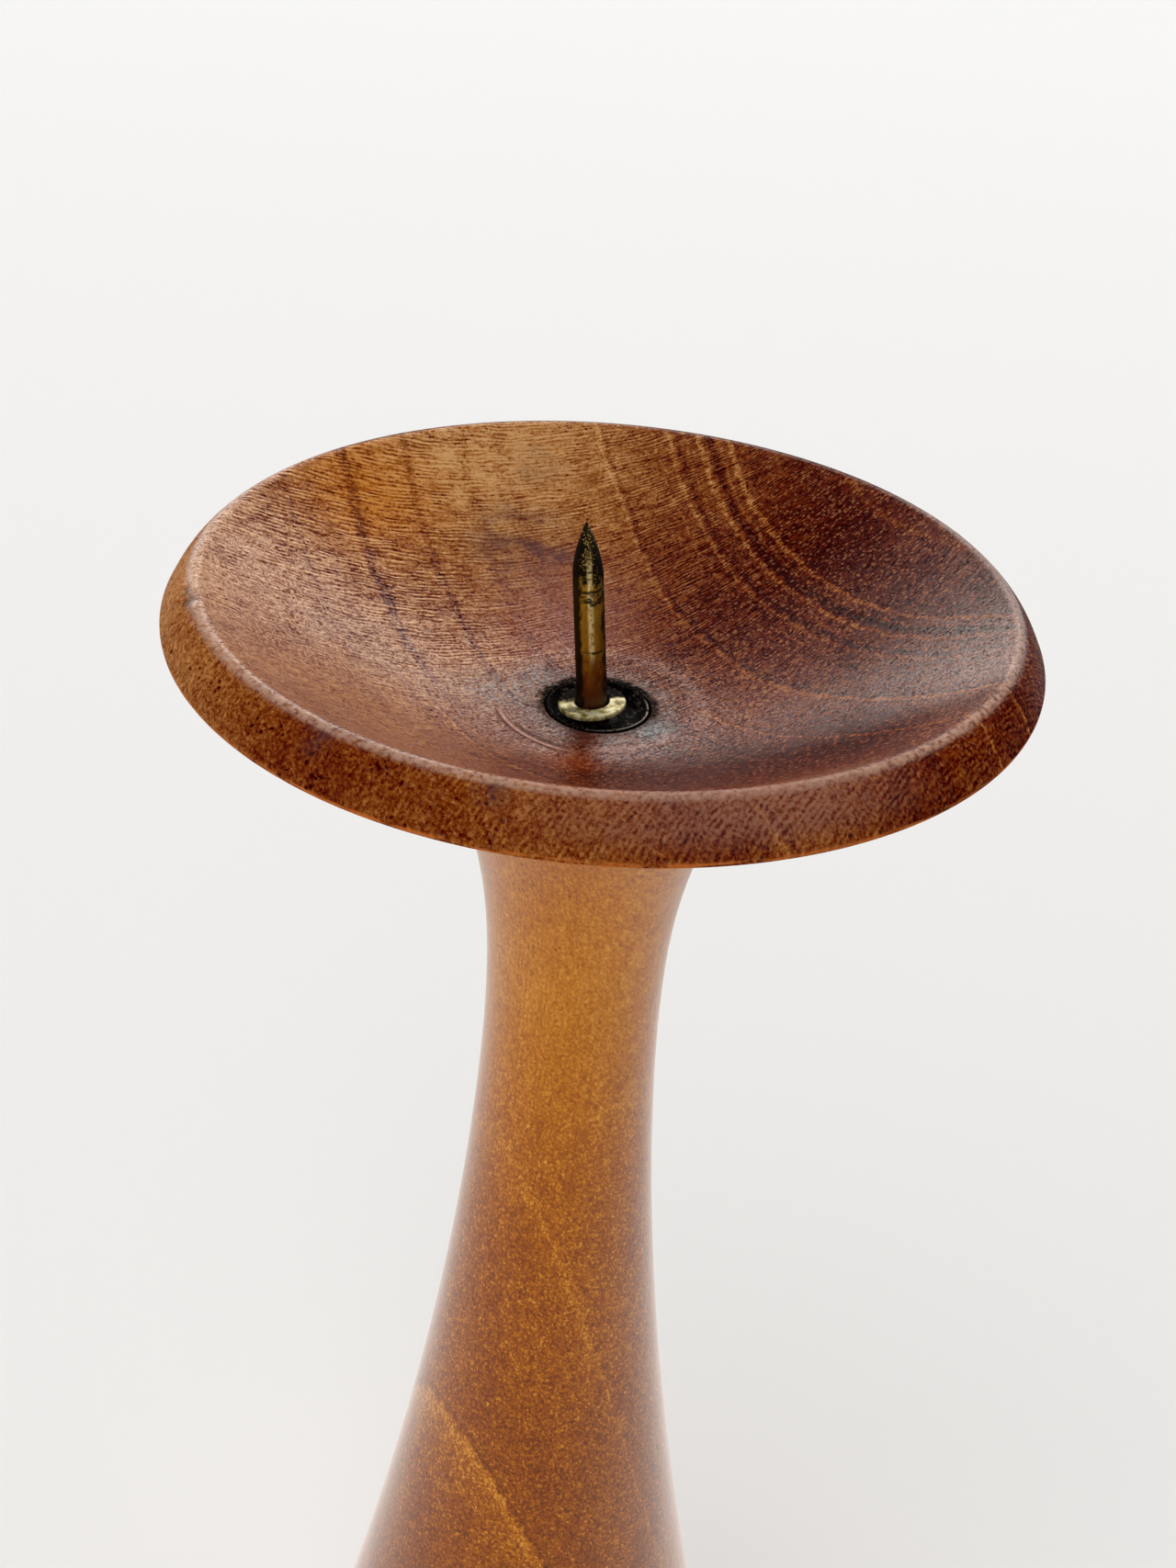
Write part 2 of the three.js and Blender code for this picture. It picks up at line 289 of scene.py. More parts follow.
def dish_outline():
    """From the bore's foot over the underside, the rim and the bowl, and back down the bore."""
    rim = dish_rim()
    bore_foot, bore_top = (bore_radius, seat_height), (bore_radius, well_height)
    seat = (seat_radius - JOINT_CHAMFER, seat_height)
    outline = [bore_foot] + line(bore_foot, seat, 4) + dish_underside() + rim + dish_bowl(rim[-1])
    for t in spread(10)[1:]:
        ease = t * t * (3 - 2 * t)
        outline.append((WELL_RADIUS - WELL_SLOPE_WIDTH * t, well_height + WELL_DEPTH * (1 - ease)))
    mouth = [(bore_radius + out, well_height - down) for out, down in BORE_EDGE]
    outline += line(outline[-1], mouth[0], 6) + mouth[1:]
    return outline + line(bore_top, bore_foot, 3)[:-1]


def dish_shape(radius, height, angle):
    """Wood shrinks unevenly: the crest stands a little further out at the left and the right."""
    beyond = radius - OVAL_START
    underneath = height - RIM_HEIGHT < OVAL_FLOOR + OVAL_FLOOR_RISE * beyond
    if beyond < 0 or underneath:
        return radius
    inner = min(1.0, beyond / (OVAL_FULL - OVAL_START))
    outer = min(1.0, max(0.0, (rim_radius - OVAL_MARGIN - radius) / OVAL_FALL))
    return radius + CREST_OVAL * min(inner, outer) * math.cos(angle) ** 2


def stem_outline(dowel_end):
    felt_recess = felt_radius + FELT_GAP
    edge_top = FELT_PROUD + FOOT_ROUNDING + FOOT_EDGE
    seat_edge = seat_height - JOINT_CHAMFER
    outline = [(0, felt_top), (felt_recess, felt_top), (felt_recess, FELT_PROUD)]
    outline += arc(foot_radius - FOOT_ROUNDING, FELT_PROUD + FOOT_ROUNDING, FOOT_ROUNDING, -math.pi / 2, 0)
    for t in spread(110):
        widening = (foot_radius - NECK_RADIUS) * (1 - t) ** FOOT_POWER
        outline.append((NECK_RADIUS + widening, edge_top + (neck_height - edge_top) * t))
    for t in spread(40)[1:]:
        outline.append((NECK_RADIUS + SEAT_FLARE * t ** SEAT_POWER, neck_height + (seat_edge - neck_height) * t))
    outline.append((seat_radius - JOINT_CHAMFER, seat_height))
    outline.append((bore_radius, seat_height))
    outline.append((bore_radius, dowel_end))
    outline.append((0, dowel_end))
    return outline


def cup_outline():
    """A flaring wall with a rounded lip on a floor with a hole."""
    floor = cup_underside + CUP_WALL
    floor_radius = cup_radius - CUP_FLARE - CUP_WALL
    lip = CUP_WALL / 2
    outline = [(CUP_HOLE, cup_underside), (floor_radius, cup_underside)]
    outline += line(outline[-1], (floor_radius + CUP_WALL, floor), 3)
    outline += line(outline[-1], (cup_radius, cup_lip - CUP_WALL), 4)
    outline += arc(cup_radius - lip, cup_lip - lip, lip, 0, math.pi, 10)
    outline += line((cup_radius - CUP_WALL, cup_lip - lip), (floor_radius, floor), 5)
    return outline + line((floor_radius, floor), (CUP_HOLE, floor), 4)


def spike_outline():
    """Along the spike's own axis, measured from the pivot of its lean."""
    seat = LEAN_DEPTH
    tail = seat - TAIL_LENGTH
    core = SPIKE_RADIUS - THREAD_DEPTH
    thread_end = seat - THREAD_START
    shoulder = SPIKE_RADIUS + SHOULDER_WIDTH
    shoulder_top = seat - COLLAR_GAP
    shoulder_foot = shoulder_top - SHOULDER_LENGTH
    outline = [(0, tail)]
    outline += line((TAIL_TIP, tail), (core, tail + TAIL_POINT), 24)
    outline += line((core, tail + TAIL_POINT), (core, thread_end), 90)
    outline += [(SPIKE_RADIUS, thread_end + THREAD_DEPTH), (SPIKE_RADIUS, shoulder_foot)]
    outline += [(shoulder, shoulder_foot), (shoulder, shoulder_top), (SPIKE_RADIUS, shoulder_top)]
    for height in SCORE_HEIGHTS:
        middle = seat + height
        for t in spread(8):
            depth = SCORE_DEPTH * math.sin(math.pi * t)
            outline.append((SPIKE_RADIUS - depth, middle + SCORE_WIDTH * (t - 0.5)))
    point_start = seat + SHANK_LENGTH
    for t in spread(48):
        radius = TIP_RADIUS + (SPIKE_RADIUS - TIP_RADIUS) * (1 - t ** POINT_POWER)
        outline.append((radius, point_start + (POINT_LENGTH - TIP_RADIUS) * t))
    top = point_start + POINT_LENGTH - TIP_RADIUS
    outline += arc(0, top, TIP_RADIUS, 0.3, math.pi / 2, 5)[:-1]
    outline.append((0, top + TIP_RADIUS))
    return outline


def spike_shape(radius, height, angle):
    """Adds the screw's thread below the shoulder and slight hammered flats above the collar."""
    start = LEAN_DEPTH - TAIL_LENGTH + TAIL_POINT - THREAD_LEAD_IN
    end = LEAN_DEPTH - THREAD_START
    if start < height < end and radius < SPIKE_RADIUS - 0.1:
        turn = (height / THREAD_PITCH - angle / (2 * math.pi)) % 1
        ridge = max(0.0, 1 - abs(turn - 0.5) / THREAD_HALF_WIDTH)
        fade = min(1.0, (height - start) / THREAD_LEAD_IN) * min(1.0, (end - height) / THREAD_RUN_OUT)
        return radius + THREAD_DEPTH * ridge * fade
    if height > LEAN_DEPTH:
        where = Vector((math.cos(angle) * 1.82, math.sin(angle) * 1.82, height * 0.585))
        return radius - HAMMER_DEPTH * (0.5 + 0.5 * noise.noise(where))
    return radius


def collar_outline():
    """A washer with softly rounded edges, measured along the spike's own axis."""
    inner = SPIKE_RADIUS + COLLAR_GAP
    outer = COLLAR_RADIUS - COLLAR_ROUNDING
    bottom = LEAN_DEPTH
    top = bottom + COLLAR_THICKNESS
    outline = [(inner, bottom)] + line((inner, bottom), (outer, bottom), 4)
    outline += arc(outer, bottom + COLLAR_ROUNDING, COLLAR_ROUNDING, -math.pi / 2, 0, 6)[1:]
    outline += arc(outer, top - COLLAR_ROUNDING, COLLAR_ROUNDING, 0, math.pi / 2, 6)
    outline += line((outer, top), (inner + 0.1, top), 8)
    return outline + [(inner, top - 0.1)]


def collar_shape(radius, height, angle):
    """The collar was filed by hand, so its edge isn't quite round."""
    if radius < COLLAR_RADIUS - 1:
        return radius
    where = Vector((math.cos(angle) * 1.5, math.sin(angle) * 1.5, 3.0))
    return radius - FILING_DEPTH * (1 + noise.noise(where))


def felt_outline():
    """A pressed felt disc whose lower edge is rubbed round."""
    inner = felt_radius - FELT_ROUNDING
    outline = [(0, 0)] + line((0, 0), (inner, 0), 40)
    outline += arc(inner, FELT_ROUNDING, FELT_ROUNDING, -math.pi / 2, 0, 8)[1:]
    outline += line((felt_radius, FELT_ROUNDING), (felt_radius, felt_top), 3)
    return outline + line((felt_radius, felt_top), (1.0, felt_top), 6) + [(0, felt_top)]


def wear(piece):
    """Presses the small dents into a wooden piece and lets its surface waver a little, except in the bore."""
    for vertex in piece.data.vertices:
        place = vertex.co / MM
        inward = -Vector((place.x, place.y, 0))
        if inward.length < bore_radius + 1:
            continue
        inward.normalize()
        place += inward * (WAVER_DEPTH * (0.5 + 0.5 * noise.noise(place / WAVER_SIZE)))
        for centre, radius, depth in DENTS:
            away = (place - Vector(centre)).length
            if away < radius:
                press = depth * (1 - (away / radius) ** 2) ** 2
                place += (inward * DENT_INWARD - Vector((0, 0, DENT_DOWN))) * press
        vertex.co = place * MM


# Materials


def srgb(red, green, blue):
    """A colour as it looks on a screen, 0 to 255, turned into the shader's own numbers."""
    def linear(value):
        value /= 255
        return value / 12.92 if value <= 0.04045 else ((value + 0.055) / 1.055) ** 2.4
    return (linear(red), linear(green), linear(blue), 1)


class Nodes:
    """Short calls for a node tree. A value may be a number, a tuple or another node's output."""

    def __init__(self, tree):
        self.tree = tree

    def put(self, socket, value):
        if isinstance(value, bpy.types.NodeSocket):
            self.tree.links.new(value, socket)
        else:
            socket.default_value = value

    def make(self, kind, *values, operation=None):
        """A new node whose first sockets take these values."""
        node = self.tree.nodes.new(kind)
        if operation:
            node.operation = operation
        for socket, value in zip(node.inputs, values):
            self.put(socket, value)
        return node

    def math(self, operation, *values):
        return self.make("ShaderNodeMath", *values, operation=operation).outputs[0]

    def vector(self, operation, *values):
        node = self.make("ShaderNodeVectorMath", *values, operation=operation)
        return node.outputs["Value" if operation in ("LENGTH", "DISTANCE", "DOT_PRODUCT") else "Vector"]

    def chain(self, operation, values):
        total = values[0]
        for value in values[1:]:
            total = self.math(operation, total, value)
        return total

    def add(self, *values):
        return self.chain("ADD", values)

    def times(self, *values):
        return self.chain("MULTIPLY", values)

    def most(self, *values):
        return self.chain("MAXIMUM", values)

    def less(self, *values):
        """1 less the product of the values, for what they take away."""
        return self.math("SUBTRACT", 1.0, self.times(*values))

    def weigh(self, *layers):
        """The sum of layers, each given as (value, weight)."""
        total = 0.0
        for value, weight in layers:
            total = self.math("MULTIPLY_ADD", value, weight, total)
        return total

    def split(self, vector):
        return list(self.make("ShaderNodeSeparateXYZ", vector).outputs)

    def join(self, x, y, z):
        return self.make("ShaderNodeCombineXYZ", x, y, z).outputs[0]

    def texture(self, kind, place, size):
        """A texture whose pattern is about `size` millimetres wide; size may differ by axis."""
        sizes = size if isinstance(size, tuple) else (size,) * 3
        node = self.make(kind, self.vector("DIVIDE", place, sizes))
        node.inputs["Scale"].default_value = 1
        return node

    def noise(self, place, size, detail=2.0, rough=0.5):
        """Smooth noise from 0 to 1."""
        node = self.texture("ShaderNodeTexNoise", place, size)
        node.inputs["Detail"].default_value = detail
        node.inputs["Roughness"].default_value = rough
        return node.outputs["Fac"]

    def lumps(self, place, size, detail=2.0, rough=0.5):
        """The same noise from about -1 to 1."""
        return self.math("MULTIPLY_ADD", self.noise(place, size, detail, rough), 4.0, -2.0)

    def cells(self, place, size):
        """Distance to the nearest of many scattered points, about one in each cell of this size."""
        return self.texture("ShaderNodeTexVoronoi", place, size).outputs["Distance"]

    def fade(self, value, start, end, low=0.0, high=1.0):
        """From low at start to high at end, with soft ends."""
        node = self.make("ShaderNodeMapRange", value, start, end, low, high)
        node.interpolation_type = "SMOOTHSTEP"
        return node.outputs[0]

    def line(self, value, middle, width):
        """1 in the middle of a thin line across a value and 0 beside it."""
        away = self.math("ABSOLUTE", self.math("SUBTRACT", value, middle))
        return self.fade(away, width, width * 0.3)

    def within(self, value, edges):
        """Rises from 0 to 1 between the first two edges and falls again between the last two."""
        return self.times(self.fade(value, edges[0], edges[1]), self.fade(value, edges[3], edges[2]))

    def ramp(self, value, stops):
        """Colours or numbers between stops of (value, colour or number)."""
        start, end = stops[0][0], stops[-1][0]
        node = self.tree.nodes.new("ShaderNodeValToRGB")
        self.put(node.inputs[0], self.math("DIVIDE", self.math("SUBTRACT", value, start), end - start))
        elements = node.color_ramp.elements
        while len(elements) < len(stops):
            elements.new(0.5)
        for element, (where, colour) in zip(elements, stops):
            element.position = (where - start) / (end - start)
            element.color = colour if isinstance(colour, tuple) else (colour, colour, colour, 1)
        return node.outputs["Color"]

    def mix(self, amount, a, b):
        node = self.tree.nodes.new("ShaderNodeMix")
        node.data_type = "RGBA"
        self.put(node.inputs[0], amount)
        self.put(node.inputs[6], a)
        self.put(node.inputs[7], b)
        return node.outputs[2]

    def paint(self, colour, *coats):
        """Lays coats over a colour, one after the other, each given as (amount, strength, colour)."""
        for amount, strength, coat in coats:
            colour = self.mix(self.times(amount, strength), colour, coat)
        return colour


class Shader(Nodes):
    """One material, with places on the object in millimetres."""

    def __init__(self, name, specular=0.5):
        self.material = bpy.data.materials.new(name)
        self.material.use_nodes = True
        super().__init__(self.material.node_tree)
        self.surface = self.tree.nodes["Principled BSDF"]
        self.surface.inputs["Specular IOR Level"].default_value = specular
        place = self.tree.nodes.new("ShaderNodeTexCoord").outputs["Object"]
        self.place = self.vector("MULTIPLY", place, (1 / MM,) * 3)
        self.x, self.y, self.z = self.split(self.place)

    def near(self, centre, radius):
        """1 at a place on the object and 0 from this radius on."""
        return self.fade(self.vector("DISTANCE", self.place, centre), radius, 0.0)

    def patches(self, marks):
        """The sum of soft round patches, each given as (centre, radius, strength)."""
        return self.weigh(*((self.near(centre, radius), strength) for centre, radius, strength in marks))

    def dents(self, strength, shade):
        """Coats that darken the dents."""
        return [(self.near(centre, radius * 1.1), strength, shade) for centre, radius, _ in DENTS]

    def relief(self, height, depth):
        """Bump from a height whose unit stands for this many millimetres."""
        node = self.tree.nodes.new("ShaderNodeBump")
        node.inputs["Strength"].default_value = 1
        node.inputs["Distance"].default_value = depth * MM
        self.put(node.inputs["Height"], height)
        self.put(self.surface.inputs["Normal"], node.outputs[0])

    def finish(self, colour, roughness, metallic=0.0, gloss=None):
        self.put(self.surface.inputs["Base Color"], colour)
        self.put(self.surface.inputs["Roughness"], roughness)
        self.put(self.surface.inputs["Metallic"], metallic)
        if gloss is not None:
            self.put(self.surface.inputs["Specular IOR Level"], gloss)
        return self.material


# Where the heart of the tree lay, seen from the middle of the dish, and how it leans with height;
# the spacing of the rays, and the radius at which the way round the heart is counted
PITH = (121, 90)
DISH_LEAN = (-0.02, -0.063)
STEM_LEAN = (-0.16, -0.21)
RAY_SPACING = 0.58
ARC_RADIUS = 150.0

# Growth rings by distance from the pith: how much paler or darker than the wood around them
DISH_RINGS = (
    (86, 0), (97.5, 0.02), (98.6, 0.1), (99.6, -0.05), (110.4, -0.03), (112, 0.02), (113.6, -0.06), (116, 0.04),
    (118.6, -0.05), (119.8, 0.02), (128.2, 0), (128.9, -0.05), (129.8, 0.05), (133, 0), (160, 0),
    (171, -0.03), (172, 0.04), (176, 0), (200, 0),
)
STEM_RINGS = (
    (120, -0.03), (160, 0), (185.5, -0.01), (186, 0.05), (188.6, 0), (203, 0), (205.9, -0.05),
    (206.3, 0.13), (208.2, 0.09), (212.5, 0.03), (225, 0), (260, -0.02),
)
# Thin pale lines and dark dotted bands: distance from the pith, width, strength at the back and at the front
DISH_LINES = (
    (98.8, 0.4, 0.4, 0.5), (111.3, 0.6, 1, 0.6), (112.8, 0.3, 0.5, 0.4), (115.3, 0.6, 0.9, 0.5),
    (117.3, 0.3, 0.4, 0.3), (119.5, 0.5, 0.7, 0.5), (121.6, 0.3, 0.4, 0.3), (129.6, 0.5, 0.5, 0.9),
    (140.2, 0.5, 0, 0.9), (174.7, 0.4, 0, 0.7),
)
DISH_BANDS = (
    (113.9, 0.8, 0.9, 0.7), (118.4, 0.5, 0.5, 0.4), (128.7, 0.5, 0.5, 0.7), (145.5, 2.2, 0.5, 0.2),
    (151.5, 1.6, 0.5, 0.2), (160.7, 0.9, 0.8, 0), (171, 1.2, 1.1, 0), (173.8, 0.5, 0, 0.6),
    (180.7, 0.6, 0.6, 0),
)
STEM_LINES = ((186.2, 0.6, 0.2, 0.2), (206.9, 0.7, 0.3, 0.3))
STEM_BANDS = ((205.8, 0.5, 0.35, 0.35),)

# Size of the pale pores, share of the height that the pattern counts, and size of the fine lumps
DISH_GRAIN = (0.74, 0.75, 0.46)
STEM_GRAIN = (0.52, 0.65, 0.42)
# From front to back, along Y, where a thin line or band changes its strength
FRONT_TO_BACK = (-18, 16)

# Marks that run round the dish, among them painted highlights and painted shade: radius and width
CREST_WEAR_AND_HIGHLIGHT = (54.4, 0.95)
TURNED_EDGE_HIGHLIGHT = (14.1, 0.6)
OUTER_SHADE_LINE = (14.8, 0.25)
INNER_SHADE_LINE = (13.2, 0.3)
CRESCENT_HIGHLIGHT = (12.2, 1.5)
GILT_LINE = (50.2, 0.9)
# The part of the turn that they take up, in degrees, where 0 is to the right and -90 to the front
FRONT_LEFT = (-176, -150, -112, -96)
FRONT_RIGHT = (-98, -88, -40, -22)
GILT_REACH = (-118, -108, -90, -80)
# From the crest outwards, the radii over which the bevel takes over in its rays and in its polish
BEVEL_RAYS = (53.8, 55.2)
BEVEL_POLISH = (54.8, 55.8)

# How strongly the tone's small differences show, the tone on the axis and how it falls to the right
DISH_CONTRAST = 1.22
DISH_TONE = 0.485
DISH_FALL = -0.0051

# Soft patches on the dish: centre, radius and how much paler or darker; the one at (-3, -17) is part of the spike's
# painted reflection
DISH_PATCHES = (
    ((-18, 46, 278), 36, 0.52), ((-42, 28, 278), 16, 0.04), ((-40, 8, 275), 26, 0.08), ((-22, 10, 265), 18, 0.18),
    ((-6, 26, 266), 14, 0.08), ((12, 50, 279), 16, 0.08), ((31, 30, 274), 22, -0.22), ((40, 6, 273), 26, -0.12),
    ((16, 17, 264), 20, -0.18), ((5, -24, 264), 34, -0.36), ((30, -22, 270), 24, -0.14), ((-36, -48, 278), 30, -0.26),
    ((0, -58, 277), 16, 0.08), ((28, -52, 278), 18, 0.2), ((-57, -10, 278), 14, 0.17), ((-3, -17, 262), 7, 0.36),
    ((36, 8, 271), 12, -0.1), ((33, -21, 271), 16, -0.13), ((18, -19, 266), 14, -0.09), ((46, -34, 279), 14, 0.14),
    ((-13, 45, 277), 18, 0.08), ((0, 16, 264), 12, 0.06),
)
# Dull places on the dish: centre, radius and how much of the shine is lost; the last is part of the spike's painted
# reflection
DISH_DULL = (
    ((-38, 32, 277), 24, 0.8), ((29, 34, 274), 26, 0.9), ((36, 8, 271), 13, 0.5), ((39, -24, 273), 20, 0.65),
    ((-3, -17, 262.5), 5, 0.6),
)
# Smoky purple stains on the dish: centre, radius and strength
DISH_SMOKE = (
    ((-14, 33, 269), 12, 0.6), ((-3, 22, 265), 10, 0.5), ((14, -22, 265), 15, 0.4), ((-12, 45, 277), 6, 0.35),
    ((-8, 30, 268), 6, 0.7), ((-33, -45.5, 280), 4, 0.5), ((-11.5, -54.5, 280.3), 3.5, 0.6),
)
# Blue-grey wax stains in the well, and dust on the front of the rim: centre, radius and strength
DISH_WAX = (
    ((8.4, -5.6, well_height), 4.6, 1), ((-9, 7, well_height), 6, 0.6), ((-15, 1, well_height), 8, 0.55),
)
DISH_DUST = (((24, -53, 278), 26, 1), ((4, -57, 278), 20, 0.5))
# Tinted places: centre and radius
GOLDEN_PLACE = ((-37, 30, 277), 18)
ROSE_PLACE = ((-6, 22, 265), 18)
# The red place in front of the recess is the spike's painted reflection in the polished well
SPIKE_REFLECTION_PLACE = ((-3, -17, 262.5), 5)

DISH_COLOURS = (
    (0, srgb(46, 1, 0)), (0.15, srgb(72, 7, 2)), (0.3, srgb(99, 27, 5)), (0.45, srgb(121, 50, 9)),
    (0.6, srgb(141, 73, 21)), (0.75, srgb(160, 97, 42)), (0.9, srgb(182, 116, 56)), (1.1, srgb(206, 146, 84)),
    (1.35, srgb(224, 170, 108)),
)
DISH_PORE_COLOURS = (
    (0, srgb(142, 82, 56)), (0.3, srgb(162, 104, 66)), (0.6, srgb(176, 116, 66)), (0.9, srgb(206, 148, 92)),
)
GOLDEN_COLOURS = ((0.4, srgb(128, 58, 6)), (0.75, srgb(186, 104, 20)), (1, srgb(214, 134, 40)))
# The stem's tone by height
STEM_TONES = (
    (0, 0.5), (110, 0.5), (150, 0.56), (175, 0.59), (200, 0.8), (222, 0.88), (240, 0.82), (253, 0.77),
)
STEM_COLOURS = (
    (0, srgb(66, 16, 0)), (0.3, srgb(114, 43, 2)), (0.5, srgb(144, 65, 2)), (0.7, srgb(173, 91, 4)),
    (0.85, srgb(200, 119, 8)), (1.1, srgb(236, 164, 66)),
)


class Teak(Shader):
    """Solid teak: growth rings, rays across them, and pores filled pale or dark."""

    def __init__(self, name, lean):
        """Takes the distance from the pith, with the rings' slight waver, and the way round it in millimetres."""
        super().__init__(name)
        rise = self.math("SUBTRACT", self.z, RIM_HEIGHT)
        across = self.math("SUBTRACT", self.math("MULTIPLY_ADD", rise, lean[0], PITH[0]), self.x)
        along = self.math("SUBTRACT", self.math("MULTIPLY_ADD", rise, lean[1], PITH[1]), self.y)
        waver = self.times(self.lumps(self.place, (24, 24, 90)), 0.8)
        ragged = self.times(self.lumps(self.place, (2.2, 2.2, 9), 4, 0.65), 0.5)
        self.distance = self.add(self.vector("LENGTH", self.join(across, along, 0)), waver, ragged)
        self.way = self.times(self.math("ARCTAN2", along, across), ARC_RADIUS)

    def drawn(self, across, around, up):
        """Places in the trunk for a pattern, which is drawn out wherever a share is below 1."""
        return self.join(self.times(self.distance, across), self.times(self.way, around), self.times(self.z, up))

    def rings_at(self, table, broken):
        """Thin rings from a table of lines or bands, broken up by a noise."""
        total = 0.0
        for middle, width, back, front in table:
            strength = self.fade(self.y, *FRONT_TO_BACK, front, back)
            total = self.math("MULTIPLY_ADD", self.line(self.distance, middle, width), strength, total)
        return self.times(total, broken)

    def grow(self, rings, lines, bands, grain, rays, hatch, pale_pores, dark_pores):
        """Makes the tone from layers; those that the polish and the relief need again are kept."""
        pore_size, drawn_out, lump_size = grain
        trunk = self.drawn(1, 1, drawn_out)
        self.fine = self.lumps(trunk, lump_size, 2, 0.6)
        self.grit = self.lumps(trunk, 0.24, 1)
        mottle = self.lumps(trunk, 1.7, 3, 0.6)
        cloud = self.lumps(self.place, (15, 15, 50), 4, 0.6)

        # Rays: a fine, regular hatch in patches, and rougher streaks
        streak = self.lumps(self.drawn(0.22, 1, 0.4), 0.9, 3, 0.6)
        shift = self.lumps(self.drawn(0.35, 1, 0.4), 2.6, 2)
        phase = self.add(self.way, self.times(shift, 0.42))
        wave = self.math("SINE", self.times(phase, 2 * math.pi / RAY_SPACING))
        patchy = self.fade(self.noise(self.drawn(0.5, 1, 1), 1.7, 2), 0.34, 0.62)
        self.ray = self.add(self.times(wave, patchy, hatch), self.times(streak, rays))

        # Thin pale rings and dark dotted ones
        pale_line = self.rings_at(lines, self.fade(self.noise(trunk, (0.8, 0.6, 2), 3, 0.7), 0.36, 0.6, 0.1, 1.2))
        band = self.rings_at(bands, self.fade(self.noise(trunk, (0.6, 0.5, 2), 3, 0.7), 0.36, 0.6, 0.2, 1.2))

        # Pores: round pale ones, dark specks that crowd together, and dark strokes along the rings' way
        spot = self.add(self.cells(self.drawn(1, 0.85, drawn_out), pore_size), self.times(self.grit, 0.04))
        self.pale = self.times(self.fade(spot, 0.42, 0.2), self.fade(self.noise(trunk, 1.5, 2), 0.3, 0.5), pale_pores)
        speck = self.cells(self.drawn(1, 0.8, 0.45), 0.7)
        crowd = self.add(self.noise(trunk, 4, 4, 0.65), self.times(band, 0.12))
        dark = self.times(self.fade(speck, 0.36, 0.14), self.fade(crowd, 0.5, 0.62), dark_pores)
        stroke = self.cells(self.drawn(0.3, 1.3, 0.4), 0.55)
        gathered = self.fade(self.noise(trunk, 3, 4, 0.6), 0.42, 0.58)
        self.pits = self.most(dark, self.times(self.fade(stroke, 0.36, 0.12), gathered, rays))

        self.tone = self.weigh(
            (self.ramp(self.distance, rings), 1), (cloud, 0.08), (mottle, 0.09), (self.fine, 0.26), (self.grit, 0.12),
            (self.ray, 0.22), (self.pits, -0.42), (pale_line, 0.36), (band, -0.27),
        )


